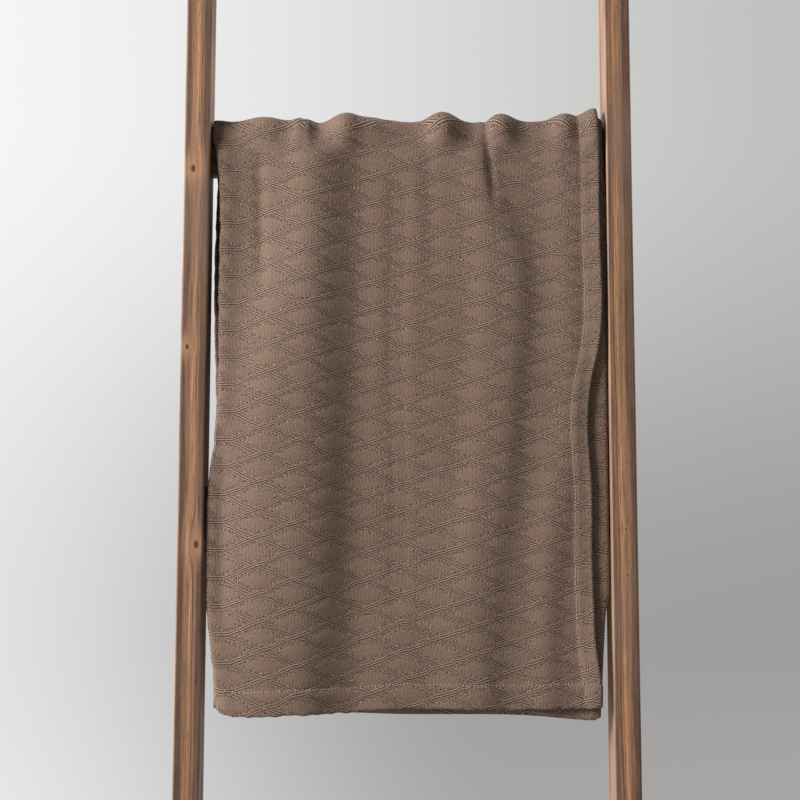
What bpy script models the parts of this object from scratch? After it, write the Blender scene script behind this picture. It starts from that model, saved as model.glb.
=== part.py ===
"""A leaning blanket ladder with a folded throw hung over its third rung.

Metres, +Z up. X runs across the ladder. The feet stand on Z = 0, the ladder leans back towards +Y, and the
origin is on the floor at the middle of the whole object's bounding box. The rails, rungs and their hardware
are drawn upright in the frame of an empty, ladder_frame, which carries the lean. The throw hangs from a
second empty, throw_lift, at the middle of the rung's top edge, and lifts straight up from there.
"""

import math

import bmesh
import bpy
import numpy as np
from mathutils import Matrix, Vector

# Ladder, as it would be cut and screwed together
LEAN = math.radians(8.5)  # from the vertical, top towards the wall
LADDER_WIDTH = 0.560  # outside to outside
RAIL_LENGTH = 1.830
RAIL_FACE = 0.032  # seen from the front
RAIL_DEPTH = 0.064
RAIL_EDGE = 0.0025  # radius that the edges are eased to
RUNG_COUNT = 4
RUNG_END_MARGIN = 0.229  # rail end to the nearest rung's centre line
RUNG_HEIGHT = 0.0635
RUNG_THICKNESS = 0.019
RUNG_EDGE = 0.0015

# Fasteners: two screws a rung end, driven from outside and hidden by wood plugs
SCREW_LENGTH = 0.050
SCREW_RADIUS = 0.0020
SCREW_HEAD_RADIUS = 0.0040
SCREW_HEAD_HEIGHT = 0.0030
SCREW_TIP = 0.006
SCREW_DIMPLE = 0.0014  # driver recess, as a cone
SCREW_INSET = 0.016  # rung edge to screw axis
PLUG_RADIUS = 0.00475
PLUG_DEPTH = 0.0080  # rail side to screw head
PLUG_CHAMFER = 0.0004

# Pads
FOOT_PAD_THICKNESS = 0.003
FOOT_PAD_MARGIN = 0.002
BUMPER_RADIUS = 0.009
BUMPER_HEIGHT = 0.005
BUMPER_EDGE = 0.0012
BUMPER_FROM_END = 0.012

# Throw, folded lengthwise into three layers and hung over a rung
THROW_RUNG = 3  # counted from the floor
THROW_THICKNESS = 0.018  # three layers with the air between them
THROW_SIDE_GAP = 0.004  # to each rail
FRONT_DROP = 0.738  # rung top to lowest hem, along the rails
BACK_DROP = 0.755  # rung top to hem, straight down
THROW_EDGE = 0.005
FOLD_RADIUS = 0.014  # over the rung

# Fits
GAP = 0.0003  # between pieces that touch
BORE_CLEARANCE = 0.0002  # screw to its hole
PLUG_CLEARANCE = 0.00025

# Facets
SCREW_SIDES = 12
PLUG_SIDES = 20
BUMPER_SIDES = 28

INNER_WIDTH = LADDER_WIDTH - 2 * RAIL_FACE
RAIL_X = (LADDER_WIDTH - RAIL_FACE) / 2
RUNG_PITCH = (RAIL_LENGTH - 2 * RUNG_END_MARGIN) / (RUNG_COUNT - 1)
RUNG_REACH = PLUG_DEPTH + SCREW_LENGTH - RAIL_FACE  # screw length inside the rung
THROW_WIDTH = INNER_WIDTH - 2 * THROW_SIDE_GAP
SIDES = {"left": -1, "right": 1}


def rung_height(number):
    """Height of a rung's centre line along the rails, counting rungs from 1 at the floor."""
    return RUNG_END_MARGIN + (number - 1) * RUNG_PITCH


def clear_scene():
    for obj in list(bpy.data.objects):
        bpy.data.objects.remove(obj, do_unlink=True)


def collection(name, hidden=False, parent=None):
    made = bpy.data.collections.new(name)
    made.hide_render = hidden
    (parent or bpy.context.scene.collection).children.link(made)
    return made


def principled(name, colour, roughness, metallic=0.0):
    material = bpy.data.materials.new(name)
    material.use_nodes = True
    shader = material.node_tree.nodes["Principled BSDF"]
    shader.inputs["Base Color"].default_value = (*colour, 1.0)
    shader.inputs["Roughness"].default_value = roughness
    shader.inputs["Metallic"].default_value = metallic
    material.diffuse_color = (*colour, 1.0)
    return material


def empty(name, parent, location=(0, 0, 0), rotation=(0, 0, 0)):
    obj = bpy.data.objects.new(name, None)
    obj.empty_display_size = 0.05
    obj.parent = parent
    obj.location = location
    obj.rotation_euler = rotation
    PARTS.objects.link(obj)
    return obj


def place(name, mesh, parent, material=None, location=(0, 0, 0), rotation=(0, 0, 0), into=None):
    obj = bpy.data.objects.new(name, mesh)
    obj.parent = parent
    obj.location = location
    obj.rotation_euler = rotation
    (into or PARTS).objects.link(obj)
    if material:
        obj.data.materials.append(material)
    return obj


def box_mesh(name, low, high, slope_ends=(0.0, 0.0), eased=None):
    """A box between two corners. slope_ends tilts the bottom and top by that rise per metre of Y, and eased
    names the edges that a weighted bevel rounds: 'x' for the four along X, 'top' for the upper two of them."""
    low, high = Vector(low), Vector(high)
    shape = Matrix.Translation((low + high) / 2) @ Matrix.Diagonal((*(high - low), 1.0))
    mesh_data = bmesh.new()
    bmesh.ops.create_cube(mesh_data, size=1.0, matrix=shape)
    middle = (low.z + high.z) / 2
    if eased:
        weight = mesh_data.edges.layers.float.new("bevel_weight_edge")
        for edge in mesh_data.edges:
            a, b = (vert.co for vert in edge.verts)
            along_x = abs(a.x - b.x) > abs(a.y - b.y) + abs(a.z - b.z)
            edge[weight] = float(along_x and (eased == "x" or a.z > middle))
    for vert in mesh_data.verts:
        vert.co.z += vert.co.y * slope_ends[vert.co.z > middle]
    mesh = bpy.data.meshes.new(name)
    mesh_data.to_mesh(mesh)
    mesh_data.free()
    return mesh


def bevel(obj, width, segments, by_weight=False):
    modifier = obj.modifiers.new("eased edges", "BEVEL")
    modifier.width = width
    modifier.segments = segments
    modifier.limit_method = "WEIGHT" if by_weight else "ANGLE"
    return obj


def turned_mesh(name, profile):
    """The profile of a turned shape, (radius, height) pairs from the top of the axis down to its foot."""
    mesh = bpy.data.meshes.new(name)
    points = [(radius, 0.0, height) for radius, height in profile]
    mesh.from_pydata(points, [(i, i + 1) for i in range(len(points) - 1)], [])
    return mesh


def turn(obj, sides):
    modifier = obj.modifiers.new("turned", "SCREW")
    modifier.axis = "Z"
    modifier.steps = modifier.render_steps = sides
    modifier.use_merge_vertices = True
    modifier.merge_threshold = 0.00001
    return obj


def cut(obj, mesh, sides, places):
    """Cuts a turned shape out of a piece at each (location, rotation), all of them in one Boolean."""
    cutters = collection(f"{obj.name} cutters", hidden=True, parent=CUTTERS)
    for number, (location, rotation) in enumerate(places, 1):
        name = f"{obj.name}_cutter_{number}"
        cutter = turn(place(name, mesh, LADDER, None, location, rotation, into=cutters), sides)
        cutter.hide_render = True
        cutter.display_type = "WIRE"
    modifier = obj.modifiers.new("bores", "BOOLEAN")
    modifier.operation = "DIFFERENCE"
    modifier.operand_type = "COLLECTION"
    modifier.collection = cutters


def screw_places():
    """Where the screws enter either rail: (rung number, lower or upper, height along the rail)."""
    reach = RUNG_HEIGHT / 2 - SCREW_INSET
    for number in range(1, RUNG_COUNT + 1):
        for screw, offset in (("lower", -reach), ("upper", reach)):
            yield number, screw, rung_height(number) + offset


def outward(side):
    """Rotation that points a turned piece's +Z out of a rail's side."""
    return (0.0, side * math.pi / 2, 0.0)


def make_rails():
    """Two boards, cut level at foot and top, with a stepped bore for each screw and its plug."""
    bore_radius = SCREW_RADIUS + BORE_CLEARANCE
    head_radius = SCREW_HEAD_RADIUS + BORE_CLEARANCE
    plug_bore = PLUG_RADIUS + PLUG_CLEARANCE
    past = 0.002  # how far a cutter runs out of the wood
    bore = turned_mesh(
        "rail bore",
        [
            (0, past),
            (plug_bore, past),
            (plug_bore, -PLUG_DEPTH),
            (head_radius, -PLUG_DEPTH),
            (head_radius, -PLUG_DEPTH - GAP),
            (bore_radius, -PLUG_DEPTH - GAP - SCREW_HEAD_HEIGHT),
            (bore_radius, -RAIL_FACE - past),
            (0, -RAIL_FACE - past),
        ],
    )
    slope = math.tan(LEAN)
    rail_mesh = box_mesh(
        "rail",
        (-RAIL_FACE / 2, -RAIL_DEPTH / 2, 0),
        (RAIL_FACE / 2, RAIL_DEPTH / 2, RAIL_LENGTH),
        slope_ends=(slope, slope),
    )
    for side_name, side in SIDES.items():
        rail = place(f"{side_name}_rail", rail_mesh.copy(), LADDER, WOOD, (side * RAIL_X, 0, 0))
        bevel(rail, RAIL_EDGE, 3)
        outside = side * LADDER_WIDTH / 2
        places = [((outside, 0, height), outward(side)) for _, _, height in screw_places()]
        cut(rail, bore, PLUG_SIDES, places)


def make_rungs():
    """Flat slats butted between the rails, with a pilot hole for each screw in both ends."""
    half = (INNER_WIDTH / 2 - GAP, RUNG_THICKNESS / 2, RUNG_HEIGHT / 2)
    slat = box_mesh("rung", [-size for size in half], half, eased="x")
    pilot_radius = SCREW_RADIUS + BORE_CLEARANCE
    pilot_depth = RUNG_REACH + 0.002
    pilot = turned_mesh(
        "pilot hole",
        [(0, 0.002), (pilot_radius, 0.002), (pilot_radius, -pilot_depth), (0, -pilot_depth - pilot_radius)],
    )
    for number in range(1, RUNG_COUNT + 1):
        rung = place(f"rung_{number}", slat.copy(), LADDER, WOOD, (0, 0, rung_height(number)))
        bevel(rung, RUNG_EDGE, 2, by_weight=True)
        heights = [height for rung_number, _, height in screw_places() if rung_number == number]
        ends = [(side * half[0], outward(side)) for side in SIDES.values()]
        cut(rung, pilot, SCREW_SIDES, [((x, 0, height), facing) for x, facing in ends for height in heights])


def make_fasteners():
    screw_mesh = turned_mesh(
        "wood screw",
        [
            (0, -SCREW_DIMPLE),
            (SCREW_DIMPLE, 0),
            (SCREW_HEAD_RADIUS, 0),
            (SCREW_RADIUS, -SCREW_HEAD_HEIGHT),
            (SCREW_RADIUS, SCREW_TIP - SCREW_LENGTH),
            (0, -SCREW_LENGTH),
        ],
    )
    plug_length = PLUG_DEPTH - GAP
    plug_mesh = turned_mesh(
        "wood plug",
        [
            (0, 0),
            (PLUG_RADIUS - PLUG_CHAMFER, 0),
            (PLUG_RADIUS, -PLUG_CHAMFER),
            (PLUG_RADIUS, -plug_length),
            (0, -plug_length),
        ],
    )
    for side_name, side in SIDES.items():
        for number, screw, height in screw_places():
            tag = f"{side_name}_{number}_{screw}"
            outside = side * LADDER_WIDTH / 2
            seat = outside - side * PLUG_DEPTH
            screw_obj = place(f"screw_{tag}", screw_mesh.copy(), LADDER, STEEL, (seat, 0, height), outward(side))
            turn(screw_obj, SCREW_SIDES)
            plug_obj = place(f"plug_{tag}", plug_mesh.copy(), LADDER, PLUG_WOOD, (outside, 0, height), outward(side))
            turn(plug_obj, PLUG_SIDES)


def make_pads():
    """A rubber pad under each foot, and a bumper behind each rail's top that meets the wall."""
    half_width = RAIL_FACE / 2 - FOOT_PAD_MARGIN
    half_depth = RAIL_DEPTH / 2 / math.cos(LEAN) - FOOT_PAD_MARGIN
    pad = box_mesh("foot pad", (-half_width, -half_depth, 0), (half_width, half_depth, FOOT_PAD_THICKNESS))
    bumper = turned_mesh(
        "wall bumper",
        [
            (0, BUMPER_HEIGHT),
            (BUMPER_RADIUS - BUMPER_EDGE, BUMPER_HEIGHT),
            (BUMPER_RADIUS, BUMPER_HEIGHT - BUMPER_EDGE),
            (BUMPER_RADIUS, 0),
            (0, 0),
        ],
    )
    behind = (-math.pi / 2, 0, 0)
    for side_name, side in SIDES.items():
        foot = place(f"foot_pad_{side_name}", pad.copy(), ROOT, RUBBER, (side * RAIL_X, 0, 0))
        bevel(foot, 0.0008, 2)
        at = (side * RAIL_X, RAIL_DEPTH / 2 + GAP, RAIL_LENGTH - BUMPER_FROM_END)
        turn(place(f"wall_bumper_{side_name}", bumper.copy(), LADDER, RUBBER, at, behind), BUMPER_SIDES)


def make_throw():
    """The folded throw's room: a front drop along the ladder, a fold over the rung and a plumb back drop."""
    half_width = THROW_WIDTH / 2
    inner = RUNG_THICKNESS / 2 + 2 * GAP
    lean = (-LEAN, 0, 0)
    front = box_mesh("front drop", (-half_width, -inner - THROW_THICKNESS, -FRONT_DROP), (half_width, -inner, 0))
    bevel(place("throw_front_drop", front, THROW, CLOTH, rotation=lean), THROW_EDGE, 2)

    half_fold = RUNG_THICKNESS / 2 + (2 * GAP + THROW_THICKNESS) / math.cos(LEAN)
    fold = box_mesh("top fold", (-half_width, -half_fold, GAP), (half_width, half_fold, THROW_THICKNESS), eased="top")
    bevel(place("throw_top_fold", fold, THROW, CLOTH, rotation=lean), FOLD_RADIUS, 5, by_weight=True)

    behind = RUNG_THICKNESS / 2 * math.cos(LEAN) + 2 * GAP
    back = box_mesh(
        "back drop",
        (-half_width, behind, -BACK_DROP),
        (half_width, behind + THROW_THICKNESS, 0),
        slope_ends=(0.0, -math.tan(LEAN)),
    )
    bevel(place("throw_back_drop", back, THROW, CLOTH), THROW_EDGE, 2)


def stand_on_origin():
    """Moves the whole object so that the origin is under the middle of its bounding box."""
    bpy.context.view_layer.update()
    graph = bpy.context.evaluated_depsgraph_get()
    points = []
    for obj in PARTS.objects:
        if obj.type == "MESH":
            evaluated = obj.evaluated_get(graph)
            points += [evaluated.matrix_world @ vert.co for vert in evaluated.data.vertices]
    points = np.array(points)
    middle = (points.min(axis=0) + points.max(axis=0)) / 2
    ROOT.location = (-middle[0], -middle[1], 0)


clear_scene()
PARTS = collection("blanket_ladder_with_throw")
CUTTERS = collection("cutters", hidden=True)

WOOD = principled("stained pine", (0.20, 0.105, 0.062), 0.55)
PLUG_WOOD = principled("stained plug", (0.13, 0.066, 0.040), 0.60)
STEEL = principled("screw steel", (0.55, 0.55, 0.55), 0.35, 1.0)
RUBBER = principled("pad rubber", (0.05, 0.045, 0.04), 0.85)
CLOTH = principled("taupe cotton", (0.17, 0.115, 0.088), 0.95)

ROOT = empty("blanket_ladder", None)
LADDER = empty("ladder_frame", ROOT, (0, 0, FOOT_PAD_THICKNESS + GAP), (-LEAN, 0, 0))
rung_top = rung_height(THROW_RUNG) + RUNG_HEIGHT / 2
THROW = empty(
    "throw_lift",
    ROOT,
    (0, rung_top * math.sin(LEAN), LADDER.location.z + rung_top * math.cos(LEAN)),
)

make_rails()
make_rungs()
make_fasteners()
make_pads()
make_throw()
stand_on_origin()
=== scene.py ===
import math

import bpy
import numpy as np
from mathutils import Matrix, Vector


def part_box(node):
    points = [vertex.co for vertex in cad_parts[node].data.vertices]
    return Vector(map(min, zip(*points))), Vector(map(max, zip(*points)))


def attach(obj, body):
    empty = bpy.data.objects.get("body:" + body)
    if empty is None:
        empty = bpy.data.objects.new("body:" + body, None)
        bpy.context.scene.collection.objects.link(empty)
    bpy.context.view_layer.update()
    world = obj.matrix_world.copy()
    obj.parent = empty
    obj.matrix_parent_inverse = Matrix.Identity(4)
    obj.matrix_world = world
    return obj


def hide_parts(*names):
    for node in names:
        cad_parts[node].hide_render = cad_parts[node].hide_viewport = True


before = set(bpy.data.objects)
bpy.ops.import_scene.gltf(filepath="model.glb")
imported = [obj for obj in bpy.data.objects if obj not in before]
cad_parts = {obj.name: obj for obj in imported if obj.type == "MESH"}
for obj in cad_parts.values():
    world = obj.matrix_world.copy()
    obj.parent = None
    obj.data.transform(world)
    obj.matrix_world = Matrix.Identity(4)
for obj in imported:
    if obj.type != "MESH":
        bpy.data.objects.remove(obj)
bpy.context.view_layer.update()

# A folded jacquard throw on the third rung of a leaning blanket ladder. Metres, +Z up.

# ---- The ladder's own directions, from the places of two like rungs ----
THROW_RUNG = "rung_3"
LOWER_RUNG = "rung_1"

# ---- The cloth: its flat size is as cut, before it is hemmed ----
CLOTH_THICKNESS = 0.0016
THROW_FLAT_WIDTH = 1.27
SIDE_HEM = 0.0225
FOOT_HEM = 0.029
HEM_STEP = 0.0020
HEM_SLOPE = (-0.001, 0.0025)    # where the step down starts and ends, from the hem's sewn edge
HEM_GROOVE = 0.0013
SIDE_GROOVE_WIDTH = 0.0022
FOOT_GROOVE_WIDTH = 0.0024
STITCH_INSET = 0.0005
FRONT_PANEL = 0.484
MIDDLE_PANEL = 0.488
CORNER_RADIUS = 0.004
FOLD_RADIUS = 0.0030
LAYER_PITCH = 0.0018
INNER_OFFSET = 0.0013
SIDE_CLEARANCE = 0.0014
INNER_HEM_X = -0.056
INNER_HEM_SLOPE = (-0.010, 0.040)
EDGE_ROUNDING = 0.016
FRONT, LEFT_FOLD, MIDDLE, RIGHT_FOLD, INNER = range(5)

# ---- The weave: two families of wavy ribs that cross in flat lozenges ----
LOZENGE_WIDTH = 0.090
LOZENGE_HEIGHT = 0.0338
ROW_SKEW = -0.045
RISING_WAVE = 0.0005
FALLING_WAVE = 0.0008
PILLOW_HEIGHT = 0.0011
BAND_HEIGHT = 0.00045
BAND_WIDTH = 0.0028
PILLOW_SLOPE = (0.002, 0.012)   # the distances from a rib between which a lozenge swells
WEAVE_END = (-0.01, 0.002)      # where the relief fades out, from the front panel's left edge
WEAVE_SHIFT_X = 0.0182
WEAVE_SHIFT_Y = -0.0084


# ------------------------------------------------------------------ small helpers

def smooth_table(pairs, at):
    """A smooth curve through a few (place, value) pairs, flat beyond its ends."""
    places, values = np.array(pairs, float).T
    slopes = np.gradient(values, places)
    at = np.clip(at, places[0], places[-1])
    k = np.clip(np.searchsorted(places, at) - 1, 0, len(places) - 2)
    span = places[k + 1] - places[k]
    t = (at - places[k]) / span
    rise = values[k + 1] - values[k]
    tangent_in, tangent_out = slopes[k] * span, slopes[k + 1] * span
    return (
        values[k]
        + tangent_in * t
        + (3 * rise - 2 * tangent_in - tangent_out) * t**2
        + (tangent_in + tangent_out - 2 * rise) * t**3
    )


def smoothstep(low, high, value):
    t = np.clip((value - low) / (high - low), 0, 1)
    return t * t * (3 - 2 * t)


def bell(value, centre, width):
    return np.exp(-(((value - centre) / width) ** 2))


def error_step(value):
    """A smooth step from 0 to 1, close to the error function's."""
    return 0.5 * (1 + np.tanh(1.2 * value))


def wandering(seed, at, wavelengths, amplitude):
    """A gentle seeded wander along one line, as hand-made edges have."""
    random = np.random.default_rng(seed)
    total = np.zeros_like(at)
    for wavelength in wavelengths:
        phase = random.uniform(0, 2 * math.pi)
        total += np.sin(2 * math.pi * at / wavelength + phase) / len(wavelengths)
    return amplitude * total


class Ladder:
    """The rail direction, the way to the wall, and the rung that the throw lies on."""

    def __init__(self):
        low = self.centre(LOWER_RUNG)
        rung = self.centre(THROW_RUNG)
        self.up = (rung - low).normalized()
        self.back = Vector((0, self.up.z, -self.up.y))
        self.lean = math.atan2(self.up.y, self.up.z)
        corner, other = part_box(THROW_RUNG)
        deep, tall = (other - corner).y, (other - corner).z
        c, s = math.cos(self.lean), math.sin(self.lean)
        self.rung_height = (tall * c - deep * s) / (c * c - s * s)
        self.rung_thickness = (deep * c - tall * s) / (c * c - s * s)
        self.rung_top = rung + self.up * self.rung_height / 2
        self.inner_x = other.x

    @staticmethod
    def centre(node):
        low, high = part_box(node)
        return (low + high) / 2


ladder = Ladder()


# ------------------------------------------------------------------ the throw's shape

# Distances down the front are measured from the rung's top, along the ladder. The sides are pairs of
# (distance down, x) and the feet are pairs of (x, distance down).
LEFT_EDGE = [(-.05, -.2466), (.0, -.2462), (.028, -.2464), (.05, -.2412), (.09, -.2372), (.23, -.2356),
             (.39, -.2360), (.424, -.2385), (.449, -.2420), (.488, -.2462), (.55, -.2466), (.601, -.2450),
             (.627, -.2429), (.666, -.2380), (.704, -.2336), (.738, -.2300)]
RIGHT_HEM = [(-.05, .2362), (.0, .2366), (.017, .2388), (.12, .2402), (.154, .2405), (.303, .2362),
             (.334, .2287), (.398, .2228), (.426, .2240), (.462, .2266), (.55, .2263), (.617, .2276),
             (.661, .2290), (.695, .2331), (.712, .2353), (.735, .2348)]
REAR_FOLD = [(-.05, .2440), (.0, .2452), (.033, .2464), (.072, .2462), (.11, .2462), (.302, .2462),
             (.389, .2460), (.429, .2462), (.469, .2464), (.549, .2464), (.598, .2457), (.619, .2419),
             (.66, .2386), (.709, .2357), (.745, .2335)]
FRONT_FOOT = [(-.245, .7360), (-.231, .7385), (-.224, .7440), (-.212, .7472), (-.15, .7476), (-.08, .7440),
              (-.033, .7400), (.106, .7400), (.236, .7375)]
REAR_FOOT = [(-.245, .716), (-.03, .718), (.070, .7270), (.115, .7390), (.175, .7470), (.217, .7515),
             (.231, .7500), (.240, .7430)]

# The plainer outline of the side that faces the wall, and where the front's outline gives way to it.
BACK_EDGE_X = 0.2440
BACK_HEM_X = 0.2330
BACK_FOOT = 0.750
BACK_FOOT_SLOPE = 0.006 / 0.24
FRONT_TO_BACK = (-0.004, 0.03)
# How much higher the inner panel ends in front, and how much lower all but the front panel end behind.
FRONT_LAYER_STEP = 0.006
BACK_LAYER_STEP = 0.004

# The folds of the front: how much each one steps the cloth out (+) or in (-), how wide the step is,
# and where it runs, from the rung down.
FRONT_FOLDS = [
    (.0200, .068, [(.0, -.137), (.06, -.143), (.165, -.155), (.228, -.171), (.317, -.194), (.391, -.2085),
                   (.538, -.212), (.671, -.2195), (.74, -.222)]),
    (-.0206, .054, [(.0, -.094), (.30, -.091), (.60, -.094), (.74, -.100)]),
    (.0064, .038, [(.0, .074), (.07, .076), (.354, .083), (.465, .073), (.538, .061), (.74, .052)]),
    (-.0078, .032, [(.0, .092), (.023, .096), (.088, .107), (.165, .139), (.354, .138), (.465, .128),
                    (.538, .117), (.611, .112), (.74, .106)]),
    (.0062, .032, [(.0, .178), (.165, .186), (.354, .186), (.465, .171), (.538, .160), (.611, .157),
                   (.74, .152)]),
    (-.0046, .026, [(.0, .222), (.165, .218), (.354, .212), (.465, .204), (.538, .192), (.611, .181),
                    (.74, .176)]),
]
# Narrow creases in the front: depth, width, first and last distance down, and where they run.
FRONT_CREASES = [
    (.0020, .014, .08, .62, [(.0, -.010), (.12, -.013), (.30, -.016), (.45, -.011), (.74, -.018)]),
    (.0022, .008, .055, .215, [(.0, -.190), (.075, -.186), (.20, -.182)]),
    (.0028, .0055, -.01, .105, [(.0, .0985), (.05, .101), (.11, .107)]),
    (.0030, .0060, -.01, .030, [(.0, -.131), (.03, -.134)]),
    (.0008, .010, .0, .20, [(.0, .020), (.10, .026), (.20, .030)]),
    (.0022, .010, .40, .64, [(.38, -.2285), (.55, -.2270), (.66, -.2240)]),
]
# Where the cloth stands up over the rung: height, place and width of each hump.
TOP_HUMPS = [(.0085, -.180, .034), (.0090, -.1326, .0125), (.0145, -.079, .0210), (.0070, -.046, .022),
             (.0022, -.014, .020), (.0145, .0434, .0235), (.0125, .1175, .0210), (.0028, .160, .016),
             (.0140, .1980, .0210), (.0120, .2330, .0140)]
# The milder folds of the side that faces the wall.
BACK_FOLDS = [
    (.0125, .052, [(.0, -.196), (.35, -.186), (.76, -.170)]),
    (-.0130, .050, [(.0, -.120), (.35, -.130), (.76, -.122)]),
    (.0105, .046, [(.0, -.030), (.35, -.012), (.76, .006)]),
    (-.0098, .044, [(.0, .052), (.35, .050), (.76, .068)]),
    (.0085, .040, [(.0, .124), (.35, .138), (.76, .146)]),
    (-.0080, .036, [(.0, .205), (.35, .198), (.76, .202)]),
]
STEP_SHARE = 0.62
CREASE_FADE_IN = 0.02
CREASE_FADE_OUT = 0.03
CREASE_OVER_RUNG = 0.02
# The distances past the rung's edge over which the folds begin.
FRONT_FOLD_START = (-0.004, 0.045)
BACK_FOLD_START = (-0.004, 0.060)
HUMP_FADE = 0.042
# The share of a hump's height that takes up length of cloth.
HUMP_TAKE_UP = 0.25
# The shares of the folds that the middle and the inner panel follow.
MIDDLE_SHARE = 0.72
INNER_SHARE = 0.50
STAND_OFF = 0.0055
HEM_LIFT = 0.0030
EDGE_SCALLOP = 0.0012
SIDE_SCALLOP = 0.7 * EDGE_SCALLOP


def fold_relief(folds, x, down):
    """How far the folds stand the cloth off: all their steps together, above the lowest level they reach."""
    relief = np.zeros_like(x)
    lowest = np.zeros_like(x)
    running = np.zeros_like(x)
    for amount, width, route in folds:
        centre = smooth_table(route, down)
        relief = relief + amount * error_step((x - centre) / (width * STEP_SHARE))
        running = running + amount
        lowest = np.minimum(lowest, running)
    return relief - lowest


def creases(x, down):
    """How deep the narrow creases are."""
    total = np.zeros_like(x)
    for depth, width, first, last, route in FRONT_CREASES:
        begun = smoothstep(first - CREASE_FADE_IN, first + CREASE_FADE_IN, down)
        ended = smoothstep(last - CREASE_FADE_OUT, last + CREASE_FADE_OUT, down)
        total = total + depth * bell(x, smooth_table(route, down), width) * (begun * (1 - ended))
    return total


def humps(x):
    total = np.zeros_like(x)
    for height, centre, width in TOP_HUMPS:
        total = total + height * bell(x, centre, width)
    return total


def weave_lines(across, along):
    """Distances, in metres, from the nearest rib of the rising and of the falling family."""
    half = LOZENGE_WIDTH / 2
    rising = LOZENGE_HEIGHT / LOZENGE_WIDTH + ROW_SKEW
    falling = -LOZENGE_HEIGHT / LOZENGE_WIDTH + ROW_SKEW
    wave = np.sin(2 * math.pi * across / half)
    found = []
    for slope, swing in ((rising, -RISING_WAVE), (falling, FALLING_WAVE)):
        turns = (along - slope * across - swing * wave) / LOZENGE_HEIGHT
        apart = np.abs(turns - np.round(turns)) * LOZENGE_HEIGHT
        found.append(apart * math.cos(math.atan(slope)))
    return found


def weave_relief(across, along):
    """The pillowed lozenges and the bands of ribs between them, as a height on the cloth."""
    rising, falling = weave_lines(across, along)
    nearest = np.minimum(rising, falling)
    band = np.maximum(bell(rising, 0, BAND_WIDTH), bell(falling, 0, BAND_WIDTH))
    return PILLOW_HEIGHT * smoothstep(*PILLOW_SLOPE, nearest) + BAND_HEIGHT * band


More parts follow.
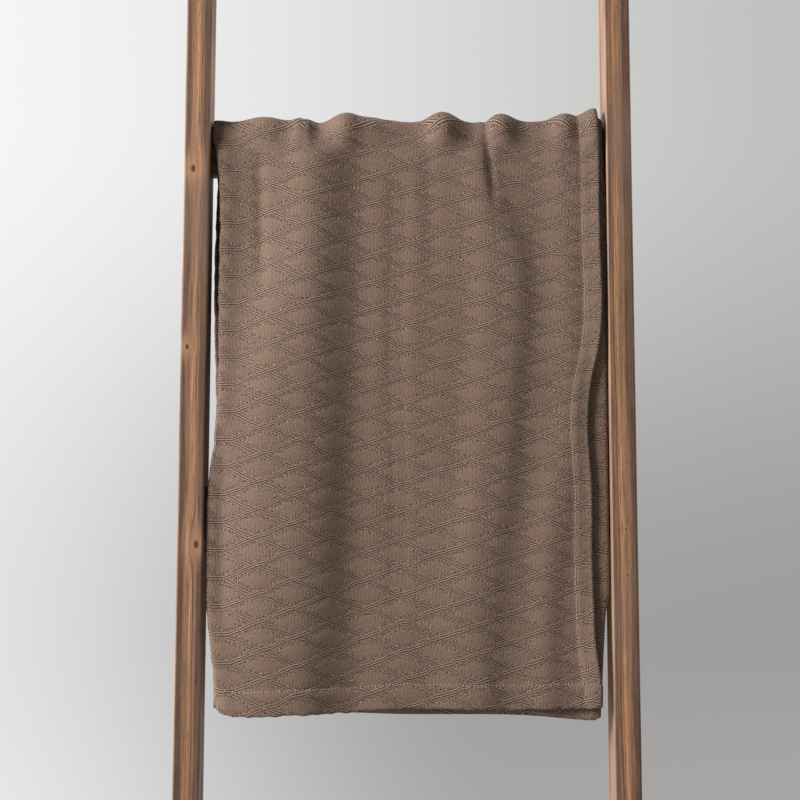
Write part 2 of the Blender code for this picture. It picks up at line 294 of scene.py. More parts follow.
class Throw:
    """The folded stack as one sheet: it maps a place on the flat cloth to a place in space.

    across runs from the hem at the front's right edge, round the left fold, along the middle panel,
    round the right fold and along the inner panel. along runs from the front hem, over the rung, to the
    back hem."""

    FRONT_LENGTH = 0.748
    BACK_LENGTH = 0.752
    REACH = 0.79
    DENSE = 1400
    # The grid's spacing across the front panel, its other numbers of stations, and the fraction of each side
    # that counts as the top.
    FINE_STEP = 0.0028
    FOLD_STATIONS, MIDDLE_STATIONS, INNER_STATIONS = 9, 46, 22
    FRONT_STATIONS, TOP_STATIONS, BACK_STATIONS = 250, 52, 112
    NEAR_RUNG = 0.055

    def __init__(self):
        self.half_flat = ladder.rung_thickness / 2 - CORNER_RADIUS
        reference = CORNER_RADIUS + INNER_OFFSET + LAYER_PITCH
        self.front_arc = math.pi / 2 * reference
        self.back_turn = math.pi / 2 - ladder.lean
        self.back_arc = self.back_turn * reference
        self.fold_length = math.pi * FOLD_RADIUS
        self.width = THROW_FLAT_WIDTH - 2 * SIDE_HEM
        self.inner_panel = self.width - FRONT_PANEL - MIDDLE_PANEL - 2 * self.fold_length
        self.marks = np.cumsum([FRONT_PANEL, self.fold_length, MIDDLE_PANEL, self.fold_length,
                                self.inner_panel])

    def path(self, s):
        """A point and an outward normal on the rung's rounded profile, in the ladder's (back, up) plane."""
        front = -self.half_flat - self.front_arc
        back = self.half_flat + self.back_arc
        turned_front = np.clip((-self.half_flat - s) / self.front_arc, 0, 1) * math.pi / 2
        turned_back = np.clip((s - self.half_flat) / self.back_arc, 0, 1) * self.back_turn
        angle = math.pi / 2 + turned_front - turned_back
        normal = np.stack([np.cos(angle), np.sin(angle)], -1)
        corner = np.clip(s, -self.half_flat, self.half_flat)
        point = np.stack([corner, np.full_like(s, -CORNER_RADIUS)], -1) + CORNER_RADIUS * normal
        below_front = np.maximum(front - s, 0)
        below_back = np.maximum(s - back, 0)
        point[..., 1] -= below_front
        plumb = np.array([math.sin(ladder.lean), -math.cos(ladder.lean)])
        return point + below_back[..., None] * plumb, normal

    def sides(self, s):
        """x of the left edge, of the front hem and of the right edge, at distance s along the path."""
        down = np.abs(s)
        outline_at = np.where(s < 0, down, -down)
        on_back = smoothstep(*FRONT_TO_BACK, s)
        back_left = -BACK_EDGE_X + wandering(3, down, wavelengths=(.31, .47), amplitude=.0022)
        back_hem = BACK_HEM_X + wandering(5, down, wavelengths=(.36, .53), amplitude=.0050)
        back_right = BACK_EDGE_X + wandering(8, down, wavelengths=(.27, .41), amplitude=.0020)
        left, hem, right = (
            smooth_table(outline, outline_at) * (1 - on_back) + back * on_back
            for outline, back in ((LEFT_EDGE, back_left), (RIGHT_HEM, back_hem), (REAR_FOLD, back_right))
        )
        left = left + CLOTH_THICKNESS / 2 + wandering(9, down, (.034, .021, .055), SIDE_SCALLOP)
        hem = hem - CLOTH_THICKNESS / 2
        right = right - CLOTH_THICKNESS / 2
        limit = ladder.inner_x - SIDE_CLEARANCE - CLOTH_THICKNESS / 2
        return np.maximum(left, -limit), np.minimum(hem, limit), np.minimum(right, limit)

    def section(self, across, s):
        """The panel, x, height off the rung and share of the folds of each place across the stack."""
        left, hem, right = self.sides(s)
        r = FOLD_RADIUS
        starts = np.concatenate([[0], self.marks[:-1]])
        panel = np.clip(np.searchsorted(self.marks, across, side="left"), FRONT, INNER)
        q = (across - starts[panel]) / (self.marks - starts)[panel]
        turn = math.pi * q
        on_panel = [panel == each for each in (FRONT, LEFT_FOLD, MIDDLE, RIGHT_FOLD)]
        x = np.select(
            on_panel,
            [
                hem + (left + r - hem) * q,
                left + r - r * np.sin(turn),
                left + r + (right - left - 2 * r) * q,
                right - r + r * np.sin(turn),
            ],
            right - r + (INNER_HEM_X - right + r) * q,
        )
        by_left = bell(x, left + r, EDGE_ROUNDING)
        by_right = bell(x, right - r, EDGE_ROUNDING)
        fold_mid = INNER_OFFSET + r
        inner_under = smoothstep(INNER_HEM_X + INNER_HEM_SLOPE[0], INNER_HEM_X + INNER_HEM_SLOPE[1], x)
        low = INNER_OFFSET
        middle = low + LAYER_PITCH * inner_under
        top = middle + LAYER_PITCH
        hem_top = fold_mid + r + LAYER_PITCH + HEM_LIFT
        front_height = top + (fold_mid + r - top) * by_left + (hem_top - top) * by_right
        middle_height = middle + (low - middle) * by_left + (fold_mid + r - middle) * by_right
        fold_height = fold_mid + r * np.cos(turn)
        height = np.select(on_panel, [front_height, fold_height, middle_height, fold_height], low)
        share = np.select(
            on_panel,
            [1, 1 + (MIDDLE_SHARE - 1) * q, MIDDLE_SHARE, MIDDLE_SHARE + (INNER_SHARE - MIDDLE_SHARE) * q],
            INNER_SHARE,
        )
        return panel, x, height, share

    def relief(self, x, s, share, panel):
        """What the folds add to the height, front and back, and the humps over the rung."""
        down = np.abs(s)
        reach = self.half_flat + self.front_arc
        front = fold_relief(FRONT_FOLDS, x, down) - creases(x, down) * (panel == FRONT)
        front = np.maximum(front, 0) + STAND_OFF
        back = fold_relief(BACK_FOLDS, x, down)
        front_begun = smoothstep(reach + FRONT_FOLD_START[0], reach + FRONT_FOLD_START[1], down)
        back_begun = smoothstep(reach + BACK_FOLD_START[0], reach + BACK_FOLD_START[1], down)
        body = np.where(s < 0, front * front_begun, back * back_begun)
        fade = 1 - smoothstep(reach, reach + HUMP_FADE, down)
        crease_cut = creases(x, np.minimum(down, CREASE_OVER_RUNG)) * (panel == FRONT)
        crease_cut = crease_cut * (1 - smoothstep(0, CREASE_FADE_OUT, s))
        over = np.maximum(humps(x) - crease_cut, 0) * fade
        return body * share, over * share

    def feet(self, x, panel):
        """How far down the front and the back each column of cloth ends."""
        front = np.where(panel <= LEFT_FOLD, smooth_table(FRONT_FOOT, x), smooth_table(REAR_FOOT, x))
        front = front - np.where(panel == INNER, FRONT_LAYER_STEP, 0)
        front = front + wandering(21, x, (.0165, .029, .047), EDGE_SCALLOP)
        back = BACK_FOOT + BACK_FOOT_SLOPE * x + wandering(11, x, wavelengths=(.21, .33), amplitude=.0025)
        return front, back + np.where(panel == FRONT, 0, BACK_LAYER_STEP)

    def surface(self, across, fractions):
        """Points for every across place and every fraction along: -1 front hem, 0 rung, 1 back hem."""
        s = np.linspace(-self.REACH, self.REACH, self.DENSE)
        a, s_grid = np.meshgrid(across, s, indexing="ij")
        panel, x, height, share = self.section(a, s_grid)
        body, over = self.relief(x, s_grid, share, panel)
        point, normal = self.path(s_grid)
        even = point + normal * (height + body + over * HUMP_TAKE_UP)[..., None]
        point = point + normal * (height + body + over)[..., None]
        steps = np.sqrt(np.diff(x, axis=1) ** 2 + (np.diff(even, axis=1) ** 2).sum(-1))
        travelled = np.concatenate([np.zeros((len(across), 1)), np.cumsum(steps, axis=1)], axis=1)
        rows = np.empty((len(across), len(fractions), 3))
        bottom = int(np.argmin(np.abs(s + self.FRONT_LENGTH)))
        front_end, back_end = self.feet(x[:, bottom], panel[:, bottom])
        for i in range(len(across)):
            zero = np.interp(0, s, travelled[i])
            first = np.interp(-front_end[i], s, travelled[i])
            last = np.interp(back_end[i], s, travelled[i])
            wanted = zero + fractions * np.where(fractions < 0, zero - first, last - zero)
            rows[i, :, 0] = np.interp(wanted, travelled[i], x[i])
            rows[i, :, 1] = np.interp(wanted, travelled[i], point[i, :, 0])
            rows[i, :, 2] = np.interp(wanted, travelled[i], point[i, :, 1])
        return self.to_world(rows)

    @staticmethod
    def to_world(rows):
        top, back, up = np.array(ladder.rung_top), np.array(ladder.back), np.array(ladder.up)
        world = top + rows[..., 1:2] * back + rows[..., 2:3] * up
        world[..., 0] = rows[..., 0]
        return world

    def stations_across(self):
        """Fine over the front panel and round the folds, wide where the cloth is hidden."""
        front = np.arange(0, FRONT_PANEL, self.FINE_STEP)
        left = np.linspace(FRONT_PANEL, self.marks[1], self.FOLD_STATIONS)[:-1]
        middle = np.linspace(self.marks[1], self.marks[2], self.MIDDLE_STATIONS)[:-1]
        right = np.linspace(self.marks[2], self.marks[3], self.FOLD_STATIONS)[:-1]
        inner = np.linspace(self.marks[3], self.marks[4], self.INNER_STATIONS)
        return np.concatenate([front, left, middle, right, inner])

    def stations_along(self):
        """Fine down the front and over the rung, wider down the back, as fractions of each side."""
        front = -np.linspace(1, self.NEAR_RUNG, self.FRONT_STATIONS)
        top = np.linspace(-self.NEAR_RUNG, self.NEAR_RUNG, self.TOP_STATIONS)[1:-1]
        back = np.linspace(self.NEAR_RUNG, 1, self.BACK_STATIONS)
        return np.concatenate([front, top, back])

    def along_metres(self, fractions):
        """Distance from the front hem, on the flat cloth."""
        return np.where(fractions < 0, (1 + fractions) * self.FRONT_LENGTH,
                        self.FRONT_LENGTH + fractions * self.BACK_LENGTH)


def grid_normals(points):
    du = np.gradient(points, axis=0)
    dv = np.gradient(points, axis=1)
    normal = np.cross(dv, du)
    return normal / np.maximum(np.linalg.norm(normal, axis=-1, keepdims=True), 1e-12)


def grid_mesh(name, points, u, v):
    """A smooth-shaded sheet of quads with its flat-cloth coordinates, in metres, as a UV map."""
    across, along = points.shape[:2]
    mesh = bpy.data.meshes.new(name)
    index = np.arange(across * along).reshape(across, along)
    quads = np.stack([index[:-1, :-1], index[:-1, 1:], index[1:, 1:], index[1:, :-1]], -1).reshape(-1, 4)
    mesh.vertices.add(across * along)
    mesh.vertices.foreach_set("co", points.reshape(-1).astype(np.float32))
    mesh.loops.add(quads.size)
    mesh.loops.foreach_set("vertex_index", quads.reshape(-1).astype(np.int32))
    mesh.polygons.add(len(quads))
    mesh.polygons.foreach_set("loop_start", (np.arange(len(quads)) * 4).astype(np.int32))
    mesh.polygons.foreach_set("use_smooth", np.ones(len(quads), bool))
    mesh.update(calc_edges=True)
    flat = np.stack(np.broadcast_arrays(u[:, None], v[None, :]), -1).reshape(-1, 2)
    layer = mesh.uv_layers.new(name="cloth")
    layer.data.foreach_set("uv", flat[quads.reshape(-1)].reshape(-1).astype(np.float32))
    mesh.validate()
    thing = bpy.data.objects.new(name, mesh)
    bpy.context.scene.collection.objects.link(thing)
    return thing


def apply_modifiers(thing):
    graph = bpy.context.evaluated_depsgraph_get()
    mesh = bpy.data.meshes.new_from_object(thing.evaluated_get(graph))
    old = thing.data
    thing.modifiers.clear()
    thing.data = mesh
    bpy.data.meshes.remove(old)


def hem_step(across, along, width, length):
    """How far a turned and sewn hem stands above the single cloth, with a groove at its stitching."""
    side = np.minimum(across, width - across)
    foot = np.minimum(along, length - along)
    inner, outer = HEM_SLOPE
    raised = np.maximum(1 - smoothstep(SIDE_HEM + inner, SIDE_HEM + outer, side),
                        1 - smoothstep(FOOT_HEM + inner, FOOT_HEM + outer, foot))
    groove = np.maximum(bell(side, SIDE_HEM - STITCH_INSET, SIDE_GROOVE_WIDTH),
                        bell(foot, FOOT_HEM - STITCH_INSET, FOOT_GROOVE_WIDTH))
    return raised * HEM_STEP - groove * HEM_GROOVE


def make_throw(shape):
    across = shape.stations_across()
    fractions = shape.stations_along()
    points = shape.surface(across, fractions)
    normals = grid_normals(points)
    along = shape.along_metres(fractions)
    u, v = np.meshgrid(across, along, indexing="ij")
    relief = weave_relief(-u + WEAVE_SHIFT_X, v + WEAVE_SHIFT_Y)
    relief = relief + hem_step(u, v, shape.width, shape.FRONT_LENGTH + shape.BACK_LENGTH)
    shown = 1 - smoothstep(FRONT_PANEL + WEAVE_END[0], FRONT_PANEL + WEAVE_END[1], u)
    points = points + normals * (relief * shown)[..., None]
    throw = grid_mesh("folded_throw", points, across, along)
    solidify = throw.modifiers.new("cloth thickness", "SOLIDIFY")
    solidify.thickness = CLOTH_THICKNESS
    solidify.offset = 0
    apply_modifiers(throw)
    return throw, points, across, along


STITCH_PITCH = 0.0046
STITCH_LENGTH = 0.0034
THREAD_RADIUS = 0.00062
STITCH_SIDES = 6
# One stitch, end to end: place along it, then its thickness and lift as shares of the thread's radius.
STITCH_PROFILE = [(-.5, .35, -.9), (-.3, .95, 0), (0, 1.05, .25), (.3, .95, 0), (.5, .35, -.9)]
FOOT_STITCH_MARGIN = 0.004


def stitch_lines(length):
    """The seams as places across and along the flat cloth, and whether each one runs along it."""
    side = np.arange(FOOT_HEM, length - FOOT_HEM, STITCH_PITCH)
    lines = [(np.full_like(side, SIDE_HEM - STITCH_INSET), side, True)]
    for level in (FOOT_HEM - STITCH_INSET, length - FOOT_HEM + STITCH_INSET):
        foot = np.arange(FOOT_STITCH_MARGIN, FRONT_PANEL - FOOT_STITCH_MARGIN, STITCH_PITCH)
        lines.append((foot, np.full_like(foot, level), False))
    return lines


def cell_of(places, stations):
    """The grid cell that each place falls in, and how far through the cell it is."""
    at = np.clip(np.interp(places, stations, np.arange(len(stations))), 0, len(stations) - 2)
    cell = at.astype(int)
    return cell, (at - cell)[:, None]


def between(grid, i, j, fi, fj):
    """The grid's value inside the cells that start at i, j."""
    return ((1 - fi) * ((1 - fj) * grid[i, j] + fj * grid[i, j + 1])
            + fi * ((1 - fj) * grid[i + 1, j] + fj * grid[i + 1, j + 1]))


def unit(vectors):
    return vectors / np.linalg.norm(vectors, axis=1, keepdims=True)


def add_stitch(verts, faces, base, normal, run, sideways):
    """One capped bead of thread that dips into the cloth at both ends."""
    first = len(verts)
    for station, fat, lift in STITCH_PROFILE:
        middle = base + run * station * STITCH_LENGTH + normal * lift * THREAD_RADIUS
        for k in range(STITCH_SIDES):
            angle = 2 * math.pi * k / STITCH_SIDES
            spoke = sideways * math.cos(angle) + normal * math.sin(angle)
            verts.append(middle + spoke * THREAD_RADIUS * fat)
    rings = len(STITCH_PROFILE) - 1
    for k in range(rings):
        for m in range(STITCH_SIDES):
            p = first + k * STITCH_SIDES + m
            q = first + k * STITCH_SIDES + (m + 1) % STITCH_SIDES
            faces.append((p, q, q + STITCH_SIDES, p + STITCH_SIDES))
    faces.append(tuple(first + m for m in reversed(range(STITCH_SIDES))))
    faces.append(tuple(first + rings * STITCH_SIDES + m for m in range(STITCH_SIDES)))


def make_stitches(points, across, along, shape):
    """The thread of the side hem and of the front and back hems, as rounded stitches in the groove."""
    normals = grid_normals(points)
    verts, faces = [], []
    for us, vs, runs_along in stitch_lines(shape.FRONT_LENGTH + shape.BACK_LENGTH):
        i, fi = cell_of(us, across)
        j, fj = cell_of(vs, along)
        normal = unit(between(normals, i, j, fi, fj))
        onward = points[i, j + 1] if runs_along else points[i + 1, j]
        run = unit(onward - points[i, j])
        base = between(points, i, j, fi, fj) + normal * (CLOTH_THICKNESS / 2 + THREAD_RADIUS * 0.25)
        for stitch in zip(base, normal, run, np.cross(normal, run)):
            add_stitch(verts, faces, *stitch)
    mesh = bpy.data.meshes.new("hem_stitching")
    mesh.from_pydata([tuple(p) for p in verts], [], faces)
    mesh.polygons.foreach_set("use_smooth", np.ones(len(faces), bool))
    mesh.update()
    thing = bpy.data.objects.new("hem_stitching", mesh)
    bpy.context.scene.collection.objects.link(thing)
    return thing


# ------------------------------------------------------------------ materials

class Graph:
    """A material's node tree, with short calls for the nodes used here."""

    def __init__(self, name, roughness, **sockets):
        self.material = bpy.data.materials.new(name)
        self.material.use_nodes = True
        self.tree = self.material.node_tree
        self.tree.nodes.clear()
        output = self.node("ShaderNodeOutputMaterial")
        self.shader = self.node("ShaderNodeBsdfPrincipled")
        self.tree.links.new(self.shader.outputs["BSDF"], output.inputs["Surface"])
        self.shader.inputs["Roughness"].default_value = roughness
        for socket, value in sockets.items():
            self.shader.inputs[socket.replace("_", " ")].default_value = value

    def node(self, kind, **settings):
        made = self.tree.nodes.new(kind)
        for key, value in settings.items():
            setattr(made, key, value)
        return made

    def feed(self, socket, value):
        if isinstance(value, bpy.types.NodeSocket):
            self.tree.links.new(value, socket)
        elif value is not None:
            socket.default_value = value

    def math(self, operation, a, b=None, c=None):
        made = self.node("ShaderNodeMath", operation=operation)
        for socket, value in zip(made.inputs, (a, b, c)):
            self.feed(socket, value)
        return made.outputs[0]

    def inverse(self, value):
        return self.math("SUBTRACT", 1.0, value)

    def distance(self, a, b):
        return self.math("SQRT", self.math("ADD", self.math("MULTIPLY", a, a), self.math("MULTIPLY", b, b)))

    def largest(self, values):
        found = values[0]
        for value in values[1:]:
            found = self.math("MAXIMUM", found, value)
        return found

    def step(self, low, high, value):
        """0 below low, 1 above high, smooth between."""
        made = self.node("ShaderNodeMapRange", interpolation_type="SMOOTHSTEP")
        self.feed(made.inputs["Value"], value)
        made.inputs["From Min"].default_value = low
        made.inputs["From Max"].default_value = high
        return made.outputs[0]

    def dot(self, vector, direction):
        made = self.node("ShaderNodeVectorMath", operation="DOT_PRODUCT")
        self.feed(made.inputs[0], vector)
        made.inputs[1].default_value = direction
        return made.outputs["Value"]

    def combine(self, x, y, z):
        made = self.node("ShaderNodeCombineXYZ")
        for socket, value in zip(made.inputs, (x, y, z)):
            self.feed(socket, value)
        return made.outputs[0]

    def separate(self, vector):
        made = self.node("ShaderNodeSeparateXYZ")
        self.feed(made.inputs[0], vector)
        return made.outputs

    def noise(self, vector, scale, detail, roughness=0.5):
        made = self.node("ShaderNodeTexNoise")
        self.feed(made.inputs["Vector"], vector)
        made.inputs["Scale"].default_value = scale
        made.inputs["Detail"].default_value = detail
        made.inputs["Roughness"].default_value = roughness
        return made.outputs["Fac"]

    def grain_noise(self, place, across, along, detail=2.0, roughness=0.5):
        """Noise with one scale across the grain and another along it, which is the place's third axis."""
        x, y, z = place
        drawn_out = self.combine(self.math("MULTIPLY", x, across), self.math("MULTIPLY", y, across),
                                 self.math("MULTIPLY", z, along))
        return self.noise(drawn_out, 1.0, detail, roughness)

    def ramp(self, factor, *stops):
        made = self.node("ShaderNodeValToRGB")
        self.feed(made.inputs["Fac"], factor)
        elements = made.color_ramp.elements
        while len(elements) < len(stops):
            elements.new(1.0)
        for element, (place, colour) in zip(elements, stops):
            element.position = place
            grey = isinstance(colour, (int, float))
            element.color = (colour, colour, colour, 1) if grey else (*colour, 1)
        return made.outputs["Color"]

    def mix(self, factor, a, b, blend="MIX"):
        made = self.node("ShaderNodeMix", data_type="RGBA", blend_type=blend)
        self.feed(made.inputs["Factor"], factor)
        for socket, value in ((made.inputs[6], a), (made.inputs[7], b)):
            self.feed(socket, (*value, 1) if isinstance(value, tuple) and len(value) == 3 else value)
        return made.outputs[2]

    def tint(self, factor, colour, by):
        """The colour where factor is 0, and the colour multiplied by another where it is 1."""
        return self.mix(factor, colour, self.mix(1.0, colour, by, "MULTIPLY"))

    def colour(self, value):
        self.feed(self.shader.inputs["Base Color"], value)

    def roughness(self, value):
        self.feed(self.shader.inputs["Roughness"], value)

    def bump(self, height, distance, strength=1.0):
        made = self.node("ShaderNodeBump")
        made.inputs["Distance"].default_value = distance
        made.inputs["Strength"].default_value = strength
        self.feed(made.inputs["Height"], height)
        self.tree.links.new(made.outputs["Normal"], self.shader.inputs["Normal"])

    def place(self):
        """The place on the object in metres: it stays with the piece when the piece moves."""
        return self.node("ShaderNodeTexCoord").outputs["Object"]


# The darkest of these colours is painted shade down in the weave's grooves, and the palest a painted
# highlight on its raised ribs; they also colour the cloth's dark and pale flecks, and the palest the thread's
# lighter twist.
THROW_COLOUR = (.211, .138, .101)
THROW_DARK_AND_GROOVE_SHADE = (.054, .034, .024)
THROW_PALE_AND_RIB_HIGHLIGHT = (.385, .266, .205)
THREAD_COLOUR = (.290, .198, .152)

# The weave's finest detail, in millimetres. The profile is (distance from a band's middle, height) across
# the three ribs of a band; the band ends between BAND_END's two distances.
MM = 1000.0
RIB_PROFILE = [(0.0, .92), (.5, .82), (.98, .02), (1.75, .0), (2.3, .88), (2.9, .82), (3.5, .30), (4.1, .42),
               (5.0, .56)]
PROFILE_REACH = 8.0
BAND_END = (3.2, 4.1)
LOZENGE_EDGE = (4.0, 9.5)
CORD_PITCH = 1.75
WEFT_PITCH = 0.9


def rib_distances(g, x, y, fuzz):
    """Millimetres from the nearest rib of the rising and of the falling family, as in weave_lines."""
    half = LOZENGE_WIDTH / 2 * MM
    pitch = LOZENGE_HEIGHT * MM
    wave = g.math("SINE", g.math("MULTIPLY", x, 2 * math.pi / half))
    distances = []
    for sign, swing in ((1, -RISING_WAVE), (-1, FALLING_WAVE)):
        slope = sign * LOZENGE_HEIGHT / LOZENGE_WIDTH + ROW_SKEW
        turns = g.math("MULTIPLY_ADD", x, -slope / pitch, g.math("DIVIDE", y, pitch))
        turns = g.math("MULTIPLY_ADD", wave, -swing * MM / pitch, turns)
        apart = g.math("PINGPONG", turns, 0.5)
        distance = g.math("MULTIPLY", apart, pitch * math.cos(math.atan(slope)))
        distances.append(g.math("MULTIPLY_ADD", fuzz, 0.5, g.math("SUBTRACT", distance, 0.25)))
    return distances


def lozenge_height(g, x, y, fuzz, edge):
    """The lozenges' fine vertical cords, under a stipple that is strongest beside the ribs."""
    wobbly = g.math("ADD", x, g.math("MULTIPLY", fuzz, 0.9))
    cords = g.math("SINE", g.math("MULTIPLY", wobbly, 2 * math.pi / CORD_PITCH))
    cords = g.math("MULTIPLY", g.math("MULTIPLY_ADD", edge, 0.12, 0.07), cords)
    flecks = g.combine(g.math("MULTIPLY", x, 0.62), g.math("MULTIPLY", y, 0.36), 0.0)
    stipple = g.noise(flecks, 1.0, 2.0, 0.55)
    stipple = g.math("MULTIPLY", g.math("SUBTRACT", stipple, 0.5), g.math("MULTIPLY_ADD", edge, 2.3, 0.55))
    return g.math("ADD", g.math("ADD", 0.52, cords), stipple)


def cotton(name):
    """The throw: triple ribs in two crossing families, and pillowed lozenges of fine vertical cords."""
    g = Graph(name, 0.92, Sheen_Weight=0.16, Sheen_Roughness=0.5, Specular_IOR_Level=0.18)
    uv = g.node("ShaderNodeUVMap", uv_map="cloth").outputs[0]
    u, v, _ = g.separate(uv)
    loose = g.noise(uv, 14.0, 1.0)
    fuzz = g.noise(uv, 900.0, 2.0, 0.6)
    x = g.math("MULTIPLY_ADD", u, -MM, WEAVE_SHIFT_X * MM)
    y = g.math("MULTIPLY_ADD", v, MM, WEAVE_SHIFT_Y * MM)
    y = g.math("ADD", y, g.math("MULTIPLY_ADD", loose, 1.2, -0.6))
    rising, falling = rib_distances(g, x, y, fuzz)
    edge = g.inverse(g.step(*LOZENGE_EDGE, g.math("MINIMUM", rising, falling)))

    height = lozenge_height(g, x, y, fuzz, edge)
    profile = [(place / PROFILE_REACH, level) for place, level in RIB_PROFILE]
    for distance in (falling, rising):
        ribs = g.ramp(g.math("DIVIDE", distance, PROFILE_REACH), *profile)
        height = g.mix(g.inverse(g.step(*BAND_END, distance)), height, ribs)
    weft = g.math("SINE", g.math("MULTIPLY", y, 2 * math.pi / WEFT_PITCH))
    height = g.math("ADD", g.math("MULTIPLY", weft, 0.03), height)
    height = g.math("MULTIPLY_ADD", fuzz, 0.10, height)
    g.bump(height, 0.0012)

    # The colour follows the weave's height: darker in the grooves as painted shade, lighter on the raised
    # ribs as painted highlight.
    tone = g.ramp(height, (.15, THROW_DARK_AND_GROOVE_SHADE), (.60, THROW_COLOUR), (1.0, THROW_PALE_AND_RIB_HIGHLIGHT))
    fleck = g.noise(uv, 620.0, 1.0, 0.5)
    pale = g.math("MULTIPLY", g.step(.56, .70, fleck), g.math("MULTIPLY_ADD", edge, .50, .22))
    dark = g.math("MULTIPLY", g.step(.44, .30, fleck), g.math("MULTIPLY_ADD", edge, .40, .22))
    tone = g.mix(dark, g.mix(pale, tone, THROW_PALE_AND_RIB_HIGHLIGHT), THROW_DARK_AND_GROOVE_SHADE)
    patch = g.noise(uv, 7.0, 3.0, 0.6)
    g.colour(g.tint(g.step(.35, .65, patch), tone, (.93, .92, .90)))
    return g.material


def thread(name):
    """Sewing thread, with its twist as slanted stripes."""
    g = Graph(name, 0.85, Sheen_Weight=0.2, Sheen_Roughness=0.4)
    twist = g.math("SINE", g.dot(g.place(), (1400.0, 900.0, 2600.0)))
    g.colour(g.mix(g.step(-1.0, 1.0, twist), THREAD_COLOUR, THROW_PALE_AND_RIB_HIGHLIGHT))
    g.bump(twist, 0.0001, 0.5)
    return g.material


WOOD_LIGHT = (.372, .196, .106)
WOOD_MID = (.216, .114, .065)
WOOD_DARK = (.106, .058, .038)
WOOD_WORN = (.410, .250, .160)
WOOD_GREY = (.160, .104, .076)
KNOT_CORE = (.070, .026, .015)
KNOT_HALO = (.390, .212, .112)


def shade(colour, by):
    return tuple(channel * by for channel in colour)


def bend_round_knots(g, radius, x, z, knots):
    """The rings' radius bent round each knot, and each knot's dark core and the warmer wood about it."""
    cores, halos = [], []
    for knot_z, knot_x, size in knots:
        kz = g.math("MULTIPLY", g.math("SUBTRACT", z, knot_z), 0.62)
        kx = g.math("SUBTRACT", x, knot_x)
        near = g.math("DIVIDE", g.distance(kz, kx), size)
        squared = g.math("MULTIPLY", near, near)
        bulge = g.math("EXPONENT", g.math("MULTIPLY", squared, -0.07))
        side = g.math("TANH", g.math("MULTIPLY", kx, 1.2 / size))
        radius = g.math("MULTIPLY_ADD", g.math("MULTIPLY", bulge, side), -size * 0.8, radius)
        cores.append(g.inverse(g.step(0.35, 0.80, near)))
        halos.append(g.math("EXPONENT", g.math("MULTIPLY", squared, -0.16)))
    return radius, cores, halos


def pine(name, along, across, pith, ring, knots, tone, edges=None):
    """Brown-stained pine whose year rings run about a pith beside the board, with pin knots.

    along is the grain's direction. across is the pair of directions that the rings are drawn in, pith their
    centre there, and ring the width of one. Each knot is its place along the grain and across the board, and
    its size. edges is the board's middle and half its width, if its edges are worn."""
    g = Graph(name, 0.55, Specular_IOR_Level=0.35, Coat_Weight=0.05, Coat_Roughness=0.4)
    place = g.place()
    x, y, z = (g.dot(place, direction) for direction in (*across, along))
    slow = g.grain_noise((x, y, z), 9.0, 1.7)
    fast = g.grain_noise((x, y, z), 60.0, 7.0)
    cloud = g.grain_noise((x, y, z), 14.0, 5.0)
    streaks = g.grain_noise((x, y, z), 230.0, 4.0)
    fibres = g.grain_noise((x, y, z), 950.0, 22.0, 3.0, 0.6)
    pores = g.grain_noise((x, y, z), 1500.0, 260.0, 2.0, 0.6)

    radius = g.distance(g.math("SUBTRACT", x, pith[0]), g.math("SUBTRACT", y, pith[1]))
    radius = g.math("ADD", radius, g.math("MULTIPLY", slow, 0.016))
    radius = g.math("ADD", radius, g.math("MULTIPLY", fast, 0.0016))
    radius, cores, halos = bend_round_knots(g, radius, x, z, knots)
    rings = g.math("FRACT", g.math("DIVIDE", radius, ring))

    light, mid, dark = (shade(colour, tone) for colour in (WOOD_LIGHT, WOOD_MID, WOOD_DARK))
    colour = g.ramp(rings, (.0, mid), (.20, mid), (.34, light), (.40, mid), (.445, light), (.475, dark),
                    (.58, mid), (.70, dark), (.94, dark), (1.0, mid))
    colour = g.tint(g.step(.48, .62, streaks), colour, (1.36, 1.33, 1.28))
    colour = g.tint(g.step(.52, .66, pores), colour, (.70, .68, .68))
    colour = g.tint(g.step(.56, .36, fibres), colour, (.62, .60, .60))
    colour = g.mix(g.math("MULTIPLY", g.step(.50, .72, cloud), 0.55), colour, shade(WOOD_GREY, tone))
    if edges is not None:
        middle, half_width = edges
        out = g.math("ABSOLUTE", g.math("SUBTRACT", x, middle))
        worn = g.step(half_width - 0.0022, half_width - 0.0004, out)
        patchy = g.math("MULTIPLY", worn, g.step(.34, .62, cloud))
        colour = g.mix(g.math("MULTIPLY", patchy, 0.75), colour, WOOD_WORN)
    if knots:
        colour = g.mix(g.math("MULTIPLY", g.largest(halos), 0.62), colour, KNOT_HALO)
        colour = g.mix(g.largest(cores), colour, KNOT_CORE)
    g.colour(colour)
    g.roughness(g.math("MULTIPLY_ADD", streaks, 0.18, 0.44))
    g.bump(g.math("ADD", g.math("MULTIPLY", fibres, 0.5), g.math("MULTIPLY", rings, 0.35)), 0.0003)
    return g.material


def zinc_steel(name):
    """Zinc-plated screws, with the plating's fine spangle."""
    g = Graph(name, 0.35, Metallic=1.0)
    spangle = g.noise(g.place(), 900.0, 2.0, 0.5)
    g.colour(g.ramp(spangle, (.3, (.46, .46, .47)), (.7, (.62, .62, .62))))
    g.roughness(g.math("MULTIPLY_ADD", spangle, 0.25, 0.25))
    g.bump(spangle, 0.00005)
    return g.material


def rubber(name):
    """Matt black rubber, for the feet and the wall bumpers."""
    g = Graph(name, 0.8, Specular_IOR_Level=0.3)
    grain = g.noise(g.place(), 1600.0, 3.0, 0.6)
    g.colour(g.ramp(grain, (.3, (.018, .017, .016)), (.7, (.036, .034, .032))))
    g.roughness(g.math("MULTIPLY_ADD", grain, 0.2, 0.68))
    g.bump(grain, 0.00015)
    return g.material


def give(material, *things):
    """Makes this the things' only material."""
    for thing in things:
        thing.data.materials.clear()
        thing.data.materials.append(material)


